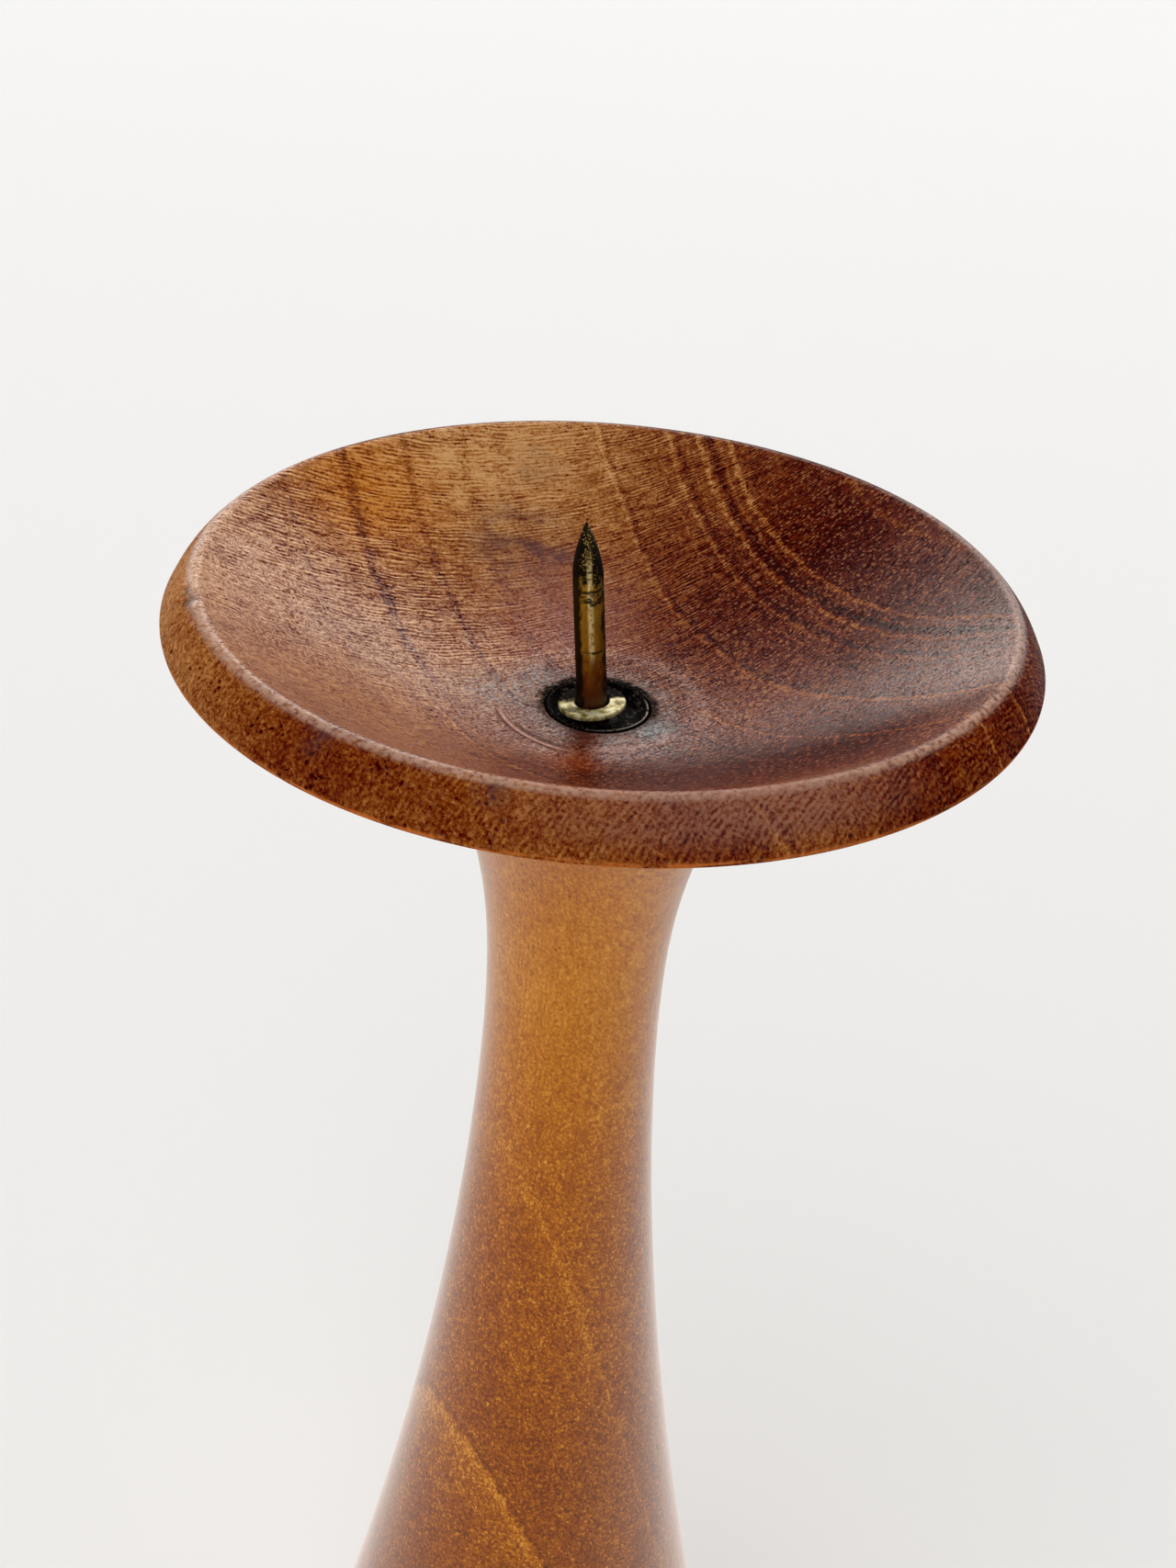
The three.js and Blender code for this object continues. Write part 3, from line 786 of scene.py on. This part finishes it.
def dish_teak():
    """The dish, with soot and wax round its recess, a turned edge in front of it painted with highlights and shade, the
    spike's reflection painted in front of the recess, and a crest rubbed pale with a painted highlight.
    """
    wood = Teak("teak_dish", DISH_LEAN)
    around = wood.vector("LENGTH", wood.join(wood.x, wood.y, 0))
    turn = wood.math("DEGREES", wood.math("ARCTAN2", wood.y, wood.x))
    sideways = wood.math("DIVIDE", wood.x, around)
    # Distance from the axis, less the crest's own ovality
    crest = wood.math("MULTIPLY_ADD", wood.times(sideways, sideways), -CREST_OVAL, around)

    # The rays show most at the back left of the bowl, the pale pores on its right, and the bevel has less of both
    bowl = wood.add(
        wood.fade(wood.y, -8, 22, 0.35, 1),
        wood.fade(wood.x, 10, 46, 0, -0.25),
        wood.fade(wood.x, -12, -34, 0, 0.25),
    )
    rays = wood.fade(crest, *BEVEL_RAYS, bowl, 0.15)
    hatch = wood.fade(crest, *BEVEL_RAYS, bowl, wood.fade(wood.x, -40, 10, 0.15, 0.5))
    right = wood.fade(wood.add(wood.x, wood.times(wood.y, -0.5)), -14, 16, 0.15, 1)
    pale_pores = wood.times(right, wood.fade(crest, 54, 57, 1, 0.35))
    wood.grow(DISH_RINGS, DISH_LINES, DISH_BANDS, DISH_GRAIN, rays, hatch, pale_pores, 1)
    slope = wood.math("MULTIPLY_ADD", wood.x, DISH_FALL, DISH_TONE)
    tone = wood.add(wood.times(wood.tone, DISH_CONTRAST), slope, wood.patches(DISH_PATCHES))

    # Smoke and a golden place in the bowl
    smoke = wood.times(wood.patches(DISH_SMOKE), wood.fade(wood.noise(wood.place, 4, 4, 0.6), 0.35, 0.65, 0.3, 1.4))
    gold = wood.times(wood.near(*GOLDEN_PLACE), wood.fade(wood.fine, -0.9, 0.6, 0.3, 1))

    # Brown stain, wax and soot round the recess
    ragged = wood.lumps(wood.place, 1.1, 4, 0.75)
    crumbs = wood.noise(wood.place, 0.5, 3, 0.65)
    stain = wood.fade(wood.add(around, wood.times(ragged, 1.12)), 14.5, 8.5, 0, 0.6)
    stain = wood.times(stain, wood.fade(crumbs, 0.36, 0.6, 0.4, 1.3))
    wax = wood.times(wood.patches(DISH_WAX), wood.fade(crumbs, 0.34, 0.56))
    soot_and_shade = wood.fade(wood.add(around, wood.times(ragged, 0.91)), bore_radius + 1.6, bore_radius + 0.5)
    soot_and_shade = wood.times(soot_and_shade, wood.fade(wood.y, -6, 1, 0.35, 1))
    ash = wood.mix(wood.fade(crumbs, 0.55, 0.66), srgb(10, 7, 6), srgb(92, 72, 60))

    # The turned edge of the well, painted at the front left only as a pale highlight with dark lines of painted shade,
    # and a painted highlight as a pale crescent beside them
    front_left = wood.within(turn, FRONT_LEFT)
    edge = wood.times(wood.line(around, *TURNED_EDGE_HIGHLIGHT), front_left)
    inner_shade_line = wood.times(wood.line(around, *INNER_SHADE_LINE), wood.fade(turn, -150, -140))
    lines = wood.times(wood.weigh((wood.line(around, *OUTER_SHADE_LINE), 0.6), (inner_shade_line, 1)), front_left)
    crescent_highlight = wood.times(
        wood.line(around, *CRESCENT_HIGHLIGHT), wood.within(turn, FRONT_RIGHT), wood.fade(crumbs, 0.38, 0.56),
    )

    # The crest is rubbed pale and carries a painted highlight, strongest at the front; the rim's lower edge has a
    # painted orange highlight; at the back the crest is dark
    worn_with_highlight = wood.times(
        wood.line(crest, *CREST_WEAR_AND_HIGHLIGHT), wood.fade(wood.z, RIM_HEIGHT + 4, RIM_HEIGHT + 5),
        wood.fade(wood.noise(wood.place, 0.9, 4, 0.7), 0.36, 0.58, 0.2, 1),
        wood.fade(wood.y, 20, -20, 0.25, 1),
    )
    low_edge_highlight = wood.times(
        wood.line(wood.z, RIM_HEIGHT - 0.35, 0.7), wood.fade(around, rim_radius - 1.4, rim_radius - 0.6),
        wood.fade(wood.noise(wood.place, (5, 5, 0.5), 4, 0.65), 0.38, 0.58),
    )
    back_edge = wood.times(wood.fade(crest, 53.4, 54.4), wood.fade(wood.y, 28, 42))

    # Dust on the front of the rim, a rose place in the bowl, a red place in front of the recess that paints the spike's
    # reflection, and a gilt line under the crest
    dust = wood.times(
        wood.patches(DISH_DUST), wood.fade(wood.add(wood.fine, wood.ray), -0.9, 0.9, 0.15, 1),
        wood.fade(wood.z, 275.4, 278.6, 0.1, 0.9),
    )
    rose = wood.times(wood.near(*ROSE_PLACE), wood.fade(wood.fine, -0.9, 0.7, 0.3, 1))
    red = wood.times(wood.near(*SPIKE_REFLECTION_PLACE), wood.fade(crumbs, 0.36, 0.56))
    gilt = wood.times(
        wood.line(around, *GILT_LINE), wood.within(turn, GILT_REACH),
        wood.fade(wood.noise(wood.place, (2, 0.6, 1), 3), 0.36, 0.56),
    )

    colour = wood.paint(
        wood.ramp(tone, DISH_COLOURS),
        (wood.pale, 0.85, wood.ramp(tone, DISH_PORE_COLOURS)),
        (smoke, 1, srgb(86, 52, 52)),
        (gold, 0.9, wood.ramp(tone, GOLDEN_COLOURS)),
        (stain, 1, srgb(70, 40, 34)),
        (wax, 0.9, srgb(102, 114, 120)),
        (soot_and_shade, 1, ash),
        (edge, 0.7, srgb(176, 128, 112)),
        (lines, 0.9, srgb(36, 14, 10)),
        (crescent_highlight, 0.6, srgb(186, 148, 140)),
        *wood.dents(0.85, srgb(30, 12, 8)),
        (worn_with_highlight, 0.8, srgb(194, 154, 132)),
        (low_edge_highlight, 0.8, srgb(206, 112, 46)),
        (back_edge, 0.75, srgb(46, 26, 18)),
        (dust, 1, srgb(150, 104, 88)),
        (rose, 0.75, srgb(164, 104, 88)),
        (red, 0.75, srgb(116, 26, 8)),
        (gilt, 0.7, srgb(186, 112, 40)),
    )

    # The polish follows the grain; it is lost in pores, soot and dull places, on the bevel and at the front right
    gloss = wood.times(
        wood.fade(wood.weigh((wood.fine, 0.65), (wood.grit, 0.5), (wood.ray, 0.5)), -0.7, 0.7, 0.05, 1.1),
        wood.less(wood.pits, 0.95), wood.less(wood.pale, 0.5), wood.less(soot_and_shade, 0.7), wood.less(back_edge, 0.85),
        wood.less(wood.fade(around, 26, 15), wood.fade(crumbs, 0.4, 0.6, 0.7, -0.1)),
        wood.fade(crest, *BEVEL_POLISH, 1, 0.05),
        wood.most(wood.fade(wood.y, -14, -22, 1, 0.2), wood.fade(wood.x, -8, -22)),
        *(wood.less(wood.near(centre, radius), loss) for centre, radius, loss in DISH_DULL),
    )
    rough = wood.add(
        0.2, wood.weigh((wood.lumps(wood.place, 9, 3), 0.03), (wood.pits, 0.25), (soot_and_shade, 0.5), (back_edge, 0.4)),
        wood.fade(around, 49, 53, 0, 0.05), wood.fade(crest, *BEVEL_POLISH, 0, 0.25),
    )
    height = wood.weigh(
        (wood.ray, 0.14), (wood.fine, 0.26), (wood.grit, 0.12), (wood.pale, -0.3), (wood.pits, -0.35),
        (edge, 2), (lines, -2),
    )
    wood.relief(height, 0.075)
    return wood.finish(colour, rough, gloss=gloss)


def stem_teak():
    """The stem, more golden than the dish and plainest at the foot, with a warm polish and a pale sheen."""
    wood = Teak("teak_stem", STEM_LEAN)
    wood.surface.inputs["Specular IOR Level"].default_value = 0.8
    wood.surface.inputs["Specular Tint"].default_value = (1, 0.45, 0.12, 1)
    wood.surface.inputs["Sheen Weight"].default_value = 1.0
    wood.surface.inputs["Sheen Roughness"].default_value = 0.42
    wood.surface.inputs["Sheen Tint"].default_value = (1, 0.95, 0.91, 1)
    rays = wood.fade(wood.z, 140, 250, 0.1, 0.5)
    hatch = wood.fade(wood.z, 140, 250, 0.1, 0.35)
    pale_pores = wood.fade(wood.z, 225, 165, 0.15, 1)
    dark_pores = wood.fade(wood.z, 190, 240, 0.15, 0.9)
    wood.grow(STEM_RINGS, STEM_LINES, STEM_BANDS, STEM_GRAIN, rays, hatch, pale_pores, dark_pores)
    contrast = wood.fade(wood.z, 150, 225, 1.4, 0.6)
    tone = wood.add(wood.times(wood.tone, contrast), wood.ramp(wood.z, STEM_TONES), wood.times(wood.pale, 0.26))
    colour = wood.paint(wood.ramp(tone, STEM_COLOURS), *wood.dents(0.8, srgb(60, 28, 18)))
    rough = wood.weigh((0.34, 1), (wood.lumps(wood.place, 9, 3), 0.05), (wood.pale, 0.08))
    wood.relief(wood.weigh((wood.ray, 0.3), (wood.fine, 0.3), (wood.pale, -0.5), (wood.pits, -0.8)), 0.03)
    return wood.finish(colour, rough)


def beech():
    """Pale dowel wood with fine flecks along the rod."""
    wood = Shader("beech")
    fleck = wood.noise(wood.place, (0.5, 0.5, 5), 3, 0.6)
    colour = wood.ramp(fleck, ((0.35, srgb(168, 122, 84)), (0.5, srgb(200, 156, 112)), (0.65, srgb(216, 176, 132))))
    # The dowel's top, down the hole under the cup, is painted black as shade
    soot_and_shade = wood.fade(wood.z, cup_underside - 4, cup_underside - 2)
    colour = wood.mix(soot_and_shade, colour, srgb(8, 6, 5))
    wood.relief(fleck, 0.04)
    return wood.finish(colour, wood.fade(fleck, 0.3, 0.7, 0.6, 0.75))


# The painted highlight up the spike's front, a stripe of pale polished brass: how far right of its axis, and width
HIGHLIGHT_STRIPE = (0.32, 0.56)
# Dark rings round the spike, the scored ones first: millimetres above the collar's underside, and width
SPIKE_RINGS = (*zip(SCORE_HEIGHTS, (0.3, 0.36)), (20.6, 0.2), (21.6, 0.26), (23.4, 0.2))


def along_spike(metal):
    """Millimetres along the leaning spike from the collar's underside."""
    lean = Vector((-math.sin(SPIKE_LEAN), 0, math.cos(SPIKE_LEAN)))
    start = Vector((0, 0, pivot_height)) + lean * LEAN_DEPTH
    return metal.vector("DOT_PRODUCT", metal.vector("SUBTRACT", metal.place, tuple(start)), tuple(lean))


def spike_brass():
    """Golden brass, copper-brown at the foot and black at the point, with a painted highlight of pale brass up its
    front, flanks painted dark as dark reflections and near black below the collar as painted shade.
    """
    metal = Shader("brass_spike")
    height = along_spike(metal)
    side = metal.add(metal.x, metal.times(metal.math("SUBTRACT", metal.z, pivot_height), math.tan(SPIKE_LEAN)))
    blotch = metal.noise(metal.place, (1.1, 1.1, 1.8), 4, 0.65)
    copper = metal.times(metal.fade(blotch, 0.46, 0.6), metal.fade(height, 15, 3, 0.2, 0.8))
    highlight_stripe = metal.times(
        metal.line(side, *HIGHLIGHT_STRIPE), metal.fade(height, 7, 10.5), metal.fade(height, 25.5, 21, 0.1, 1),
        metal.fade(metal.noise(metal.place, (0.6, 0.6, 0.9), 4, 0.7), 0.38, 0.48),
    )

    # The black skin on the point is broken by bright flecks and by the painted highlight stripe
    fleck = metal.times(
        metal.fade(metal.cells(metal.place, (0.36, 0.36, 0.3)), 0.42, 0.2), metal.line(side, 0.1, 1.5),
        metal.fade(metal.noise(metal.place, 1.2, 2), 0.36, 0.52),
    )
    skin = metal.add(metal.fade(height, 15.5, 25, 0, 0.68), metal.times(blotch, 0.9))
    skin = metal.times(metal.fade(skin, 0.66, 0.82), metal.less(fleck, 0.95), metal.less(highlight_stripe, 0.75))

    # The flanks are painted dark, standing for the dark reflections along the spike's sides; the rings and a crust
    # below the point are black too
    wander = metal.add(side, metal.times(metal.lumps(metal.place, (0.8, 0.8, 1.4), 3), 0.3))
    painted_dark_flank = metal.most(metal.fade(wander, -0.75, -1.3), metal.fade(wander, 1.35, 2.1))
    rings = metal.add(*(metal.line(height, where, width) for where, width in SPIKE_RINGS))
    rings = metal.times(rings, metal.fade(metal.noise(metal.place, 1.3, 2), 0.34, 0.5, 0.3, 1))
    crust = metal.fade(metal.noise(metal.place, (0.9, 0.9, 0.5), 4, 0.65), 0.44, 0.56)
    crust = metal.times(crust, metal.line(height, 17.4, 1.7))
    black = metal.most(skin, metal.times(painted_dark_flank, 0.97), metal.times(rings, 0.9), metal.times(crust, 0.95))

    scratch = metal.noise(metal.place, (0.14, 0.14, 2.5), 2)
    # Near black below the collar's underside is painted shade under the collar, over the shoulder and the screw
    colour = metal.ramp(height, (
        (-1.2, srgb(8, 7, 6)), (0.6, srgb(12, 9, 7)), (1.2, srgb(74, 36, 10)), (3.5, srgb(112, 58, 14)),
        (6, srgb(150, 92, 20)), (9, srgb(178, 132, 30)), (17, srgb(190, 148, 44)), (29, srgb(190, 156, 66)),
    ))
    colour = metal.paint(
        colour,
        (copper, 1, srgb(104, 44, 12)),
        (highlight_stripe, 1, srgb(252, 234, 160)),
        (fleck, skin, srgb(226, 206, 130)),
        (black, 1, srgb(12, 9, 7)),
        (metal.fade(scratch, 0.5, 0.7), 0.3, srgb(60, 36, 12)),
    )
    rough = metal.weigh((0.26, 1), (black, 0.2), (blotch, 0.18))
    metal.relief(metal.weigh((black, -0.7), (scratch, 0.4), (rings, -0.5)), 0.05)
    shine = metal.times(metal.less(black), metal.less(highlight_stripe), 0.22)
    return metal.finish(colour, rough, shine, metal.fade(black, 0, 1, 0.5, 0.1))


def collar_brass():
    """Pale worn brass with olive blotches; its back half, the inner edge there included, is painted near black with
    grey specks, as shade behind the spike and the dark wood it mirrors.
    """
    metal = Shader("brass_collar")
    blotch = metal.noise(metal.place, 1.5, 4, 0.6)
    colour = metal.ramp(blotch, (
        (0.38, srgb(104, 94, 44)), (0.46, srgb(176, 162, 98)), (0.53, srgb(222, 212, 162)), (0.66, srgb(240, 234, 196)),
    ))
    # The back half is painted near black: painted shade and a painted dark reflection of the wood
    ragged = metal.times(metal.lumps(metal.place, 1.4, 4, 0.7), 0.6)
    soot_and_shade = metal.fade(metal.add(metal.y, ragged, metal.times(metal.x, -0.12)), 0.2, 0.9)
    crumbs = metal.fade(metal.noise(metal.place, 0.5, 3), 0.56, 0.66)
    colour = metal.mix(soot_and_shade, colour, metal.mix(crumbs, srgb(12, 10, 9), srgb(74, 66, 56)))
    grain = metal.noise(metal.place, 0.22, 3, 0.7)
    metal.relief(metal.weigh((grain, 0.6), (blotch, 0.4), (soot_and_shade, crumbs)), 0.05)
    rough = metal.add(metal.fade(blotch, 0.35, 0.65, 0.45, 0.3), metal.times(soot_and_shade, 0.4))
    shine = metal.times(metal.fade(blotch, 0.35, 0.6, 0.15, 0.3), metal.less(soot_and_shade))
    return metal.finish(colour, rough, shine, metal.fade(soot_and_shade, 0, 1, 0.5, 0.08))


def cup_iron():
    """Blackened iron, its near black partly painted shade down in the recess, with grey specks and a thin bright lip at
    the front right, partly wear and partly a painted highlight.
    """
    metal = Shader("iron_cup", specular=0.1)
    speck = metal.fade(metal.noise(metal.place, 0.5, 3, 0.7), 0.53, 0.64)
    speck = metal.times(speck, metal.fade(metal.noise(metal.place, 1.6, 2), 0.4, 0.56))
    grime = metal.noise(metal.place, 0.8, 4, 0.6)
    # The near-black ramp is partly the iron's own black and partly painted shade in the recess
    colour = metal.ramp(grime, ((0.35, srgb(5, 4, 4)), (0.6, srgb(18, 14, 12)), (0.75, srgb(34, 28, 24))))
    colour = metal.mix(speck, colour, srgb(96, 90, 84))
    # The bright lip at the front right is partly wear and partly a painted highlight
    worn_with_highlight = metal.times(
        metal.fade(metal.z, cup_lip - 0.14, cup_lip - 0.03), metal.fade(grime, 0.36, 0.5),
        metal.fade(metal.add(metal.x, metal.times(metal.y, -0.9)), 3, 6.5),
    )
    colour = metal.mix(worn_with_highlight, colour, srgb(120, 112, 104))
    metal.relief(metal.weigh((grime, 0.7), (speck, 0.6)), 0.12)
    return metal.finish(colour, metal.fade(worn_with_highlight, 0, 1, 0.75, 0.28), metal.fade(worn_with_highlight, 0, 1, 0.1, 0.9))


def green_felt():
    """Dark green wool felt: tangled fibres and a few pale lints."""
    cloth = Shader("green_felt", specular=0.2)
    tangle = cloth.noise(cloth.place, (0.5, 0.5, 0.3), 5, 0.7)
    colour = cloth.ramp(tangle, ((0.35, srgb(24, 34, 22)), (0.5, srgb(44, 60, 38)), (0.68, srgb(78, 94, 64))))
    cloth.surface.inputs["Sheen Weight"].default_value = 0.4
    cloth.surface.inputs["Sheen Roughness"].default_value = 0.6
    cloth.relief(tangle, 0.25)
    return cloth.finish(colour, cloth.fade(tangle, 0.3, 0.7, 0.85, 1))


# The pieces


def make_pieces():
    dish = turned("dish", dish_outline(), WOOD_SIDES, dish_shape)
    wear(dish)
    dress(dish, "drip_dish", dish_teak())

    dowel_end = reach("centre_dowel", 2)[0] - CUP_GAP
    stem = turned("trumpet_stem", stem_outline(dowel_end), WOOD_SIDES)
    wear(stem)
    dress(stem, "stem", stem_teak())

    cup = turned("iron_cup", cup_outline(), METAL_SIDES)
    dress(cup, "recess_cup", cup_iron())

    leaning = Matrix.Translation((0, 0, pivot_height)) @ Matrix.Rotation(-SPIKE_LEAN, 4, "Y")
    spike = turned("brass_spike", spike_outline(), METAL_SIDES, spike_shape, leaning)
    dress(spike, "spike", spike_brass())

    collar = turned("brass_collar", collar_outline(), METAL_SIDES, collar_shape, leaning)
    dress(collar, "spike_collar", collar_brass())

    felt = turned("felt_disc", felt_outline(), METAL_SIDES)
    dress(felt, "felt_pad", green_felt())

    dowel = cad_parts["centre_dowel"]
    for slot in dowel.material_slots:
        slot.material = beech()


# The photograph's view: the image size that places are counted in, the focal length in its pixels,
# how far the camera looks down, its roll, and how far and where in the image it sees the rim's centre
IMAGE_WIDTH = 1280
IMAGE_HEIGHT = 1707
FOCAL_PIXELS = 2600.0
SENSOR = 36.0
LOOK_DOWN = math.radians(31.54)
ROLL = math.radians(-4.83)
RIM_PIXEL = (658.5, 675.99)
RIM_DISTANCE = 326.5


def make_camera():
    camera = bpy.data.cameras.new("camera")
    camera.sensor_width = SENSOR
    camera.lens = FOCAL_PIXELS * SENSOR / IMAGE_HEIGHT
    camera.clip_start = 0.01
    ahead = Vector((0, math.cos(LOOK_DOWN), -math.sin(LOOK_DOWN)))
    level_up = Vector((0, math.sin(LOOK_DOWN), math.cos(LOOK_DOWN)))
    level_right = Vector((1, 0, 0))
    right = level_right * math.cos(ROLL) - level_up * math.sin(ROLL)
    up = level_right * math.sin(ROLL) + level_up * math.cos(ROLL)
    scale = RIM_DISTANCE / FOCAL_PIXELS
    place = Vector((0, 0, RIM_HEIGHT)) - ahead * RIM_DISTANCE
    place -= right * (RIM_PIXEL[0] - IMAGE_WIDTH / 2) * scale
    place += up * (RIM_PIXEL[1] - IMAGE_HEIGHT / 2) * scale
    eye = bpy.data.objects.new("camera", camera)
    eye.matrix_world = Matrix.Translation(place * MM) @ Matrix((right, up, -ahead)).transposed().to_4x4()
    bpy.context.collection.objects.link(eye)
    bpy.context.scene.camera = eye


# Half the floor's width, and its colour by how far back a place lies, greyer towards the camera as painted falloff of
# the light
FLOOR_HALF = 20000.0
FLOOR_PAINTED_FALLOFF = ((-300, srgb(226, 225, 223)), (100, srgb(239, 239, 238)), (1500, srgb(251, 251, 251)))


def make_floor():
    """A pale floor, painted a touch greyer near the camera as shade where less light falls."""
    corners = [(x * FLOOR_HALF, y * FLOOR_HALF, 0) for x, y in ((-1, -1), (1, -1), (1, 1), (-1, 1))]
    floor = build("floor", corners, [(0, 1, 2, 3)])
    paint = Shader("floor_paint", specular=0)
    floor.data.materials.append(paint.finish(paint.ramp(paint.y, FLOOR_PAINTED_FALLOFF), 0.9))


# The room by compass (0 is away from the camera, 90 to the right) and height, both in degrees. Four edges
# say where something starts, where it is full, where it starts to fade and where it has gone. There is a
# tall window past the object, which widens upwards, and a lit wall low down and one high up to its left.
# Above the pale horizon the rest of the room is dim.
WINDOW_COMPASS = (-20, -2, 30, 42)
WINDOW_HEIGHT = (9, 20, 44, 54)
WINDOW_MIDDLE = 30.0
WINDOW_SLANTS = (-0.8, 0.5)
WINDOW_STRENGTH = 2.6
WINDOW_WARMTH = (1, 0.95, 0.89, 1)
PANE_SIZE = 0.09
PANE_STRENGTHS = (0.6, 1.4)
LIT_WALLS = (
    ((-60, -46, -20, -10), (18, 26, 40, 48), 0.45),
    ((-42, -28, -5, 5), (-1, 5, 18, 25), 2.7),
)
HORIZON_HEIGHT = (17, 3)
HORIZON_STRENGTH = 0.8
DIM_ROOM = 0.04

# Broad soft lamps that the polish doesn't mirror: compass and height in degrees, strength
LAMPS = ((18, 60, 1.7), (-155, 42, 1.22))
LAMP_SPREAD = math.radians(60)


def make_room():
    world = bpy.data.worlds.new("room")
    bpy.context.scene.world = world
    world.use_nodes = True
    room = Nodes(world.node_tree)
    place = world.node_tree.nodes.new("ShaderNodeTexCoord").outputs["Generated"]
    x, y, z = room.split(place)
    compass = room.math("DEGREES", room.math("ARCTAN2", x, y))
    height = room.math("DEGREES", room.math("ARCSINE", z))

    above = room.math("SUBTRACT", height, WINDOW_MIDDLE)
    left, right = (room.add(compass, room.times(above, slant)) for slant in WINDOW_SLANTS)
    window = room.times(
        room.fade(left, WINDOW_COMPASS[0], WINDOW_COMPASS[1]), room.fade(right, WINDOW_COMPASS[3], WINDOW_COMPASS[2]),
        room.within(height, WINDOW_HEIGHT), WINDOW_STRENGTH,
        room.fade(room.noise(place, PANE_SIZE, 2), 0.36, 0.64, *PANE_STRENGTHS),
    )
    for sides, heights, strength in LIT_WALLS:
        window = room.most(window, room.times(room.within(compass, sides), room.within(height, heights), strength))
    horizon = room.fade(height, *HORIZON_HEIGHT, DIM_ROOM, HORIZON_STRENGTH)
    background = world.node_tree.nodes["Background"]
    room.put(background.inputs["Strength"], room.most(window, horizon))
    room.put(background.inputs["Color"], room.mix(window, (1, 1, 1, 1), WINDOW_WARMTH))


def make_lamps():
    for compass, height, strength in LAMPS:
        lamp = bpy.data.lights.new("soft_lamp", "SUN")
        lamp.angle = LAMP_SPREAD
        lamp.energy = strength
        holder = bpy.data.objects.new("soft_lamp", lamp)
        turn, rise = math.radians(compass), math.radians(height)
        towards = Vector((math.sin(turn) * math.cos(rise), math.cos(turn) * math.cos(rise), math.sin(rise)))
        holder.rotation_euler = towards.to_track_quat("Z", "Y").to_euler()
        holder.visible_glossy = False
        bpy.context.collection.objects.link(holder)


make_camera()
make_pieces()
make_floor()
make_room()
make_lamps()
bpy.context.scene.view_settings.view_transform = "Standard"
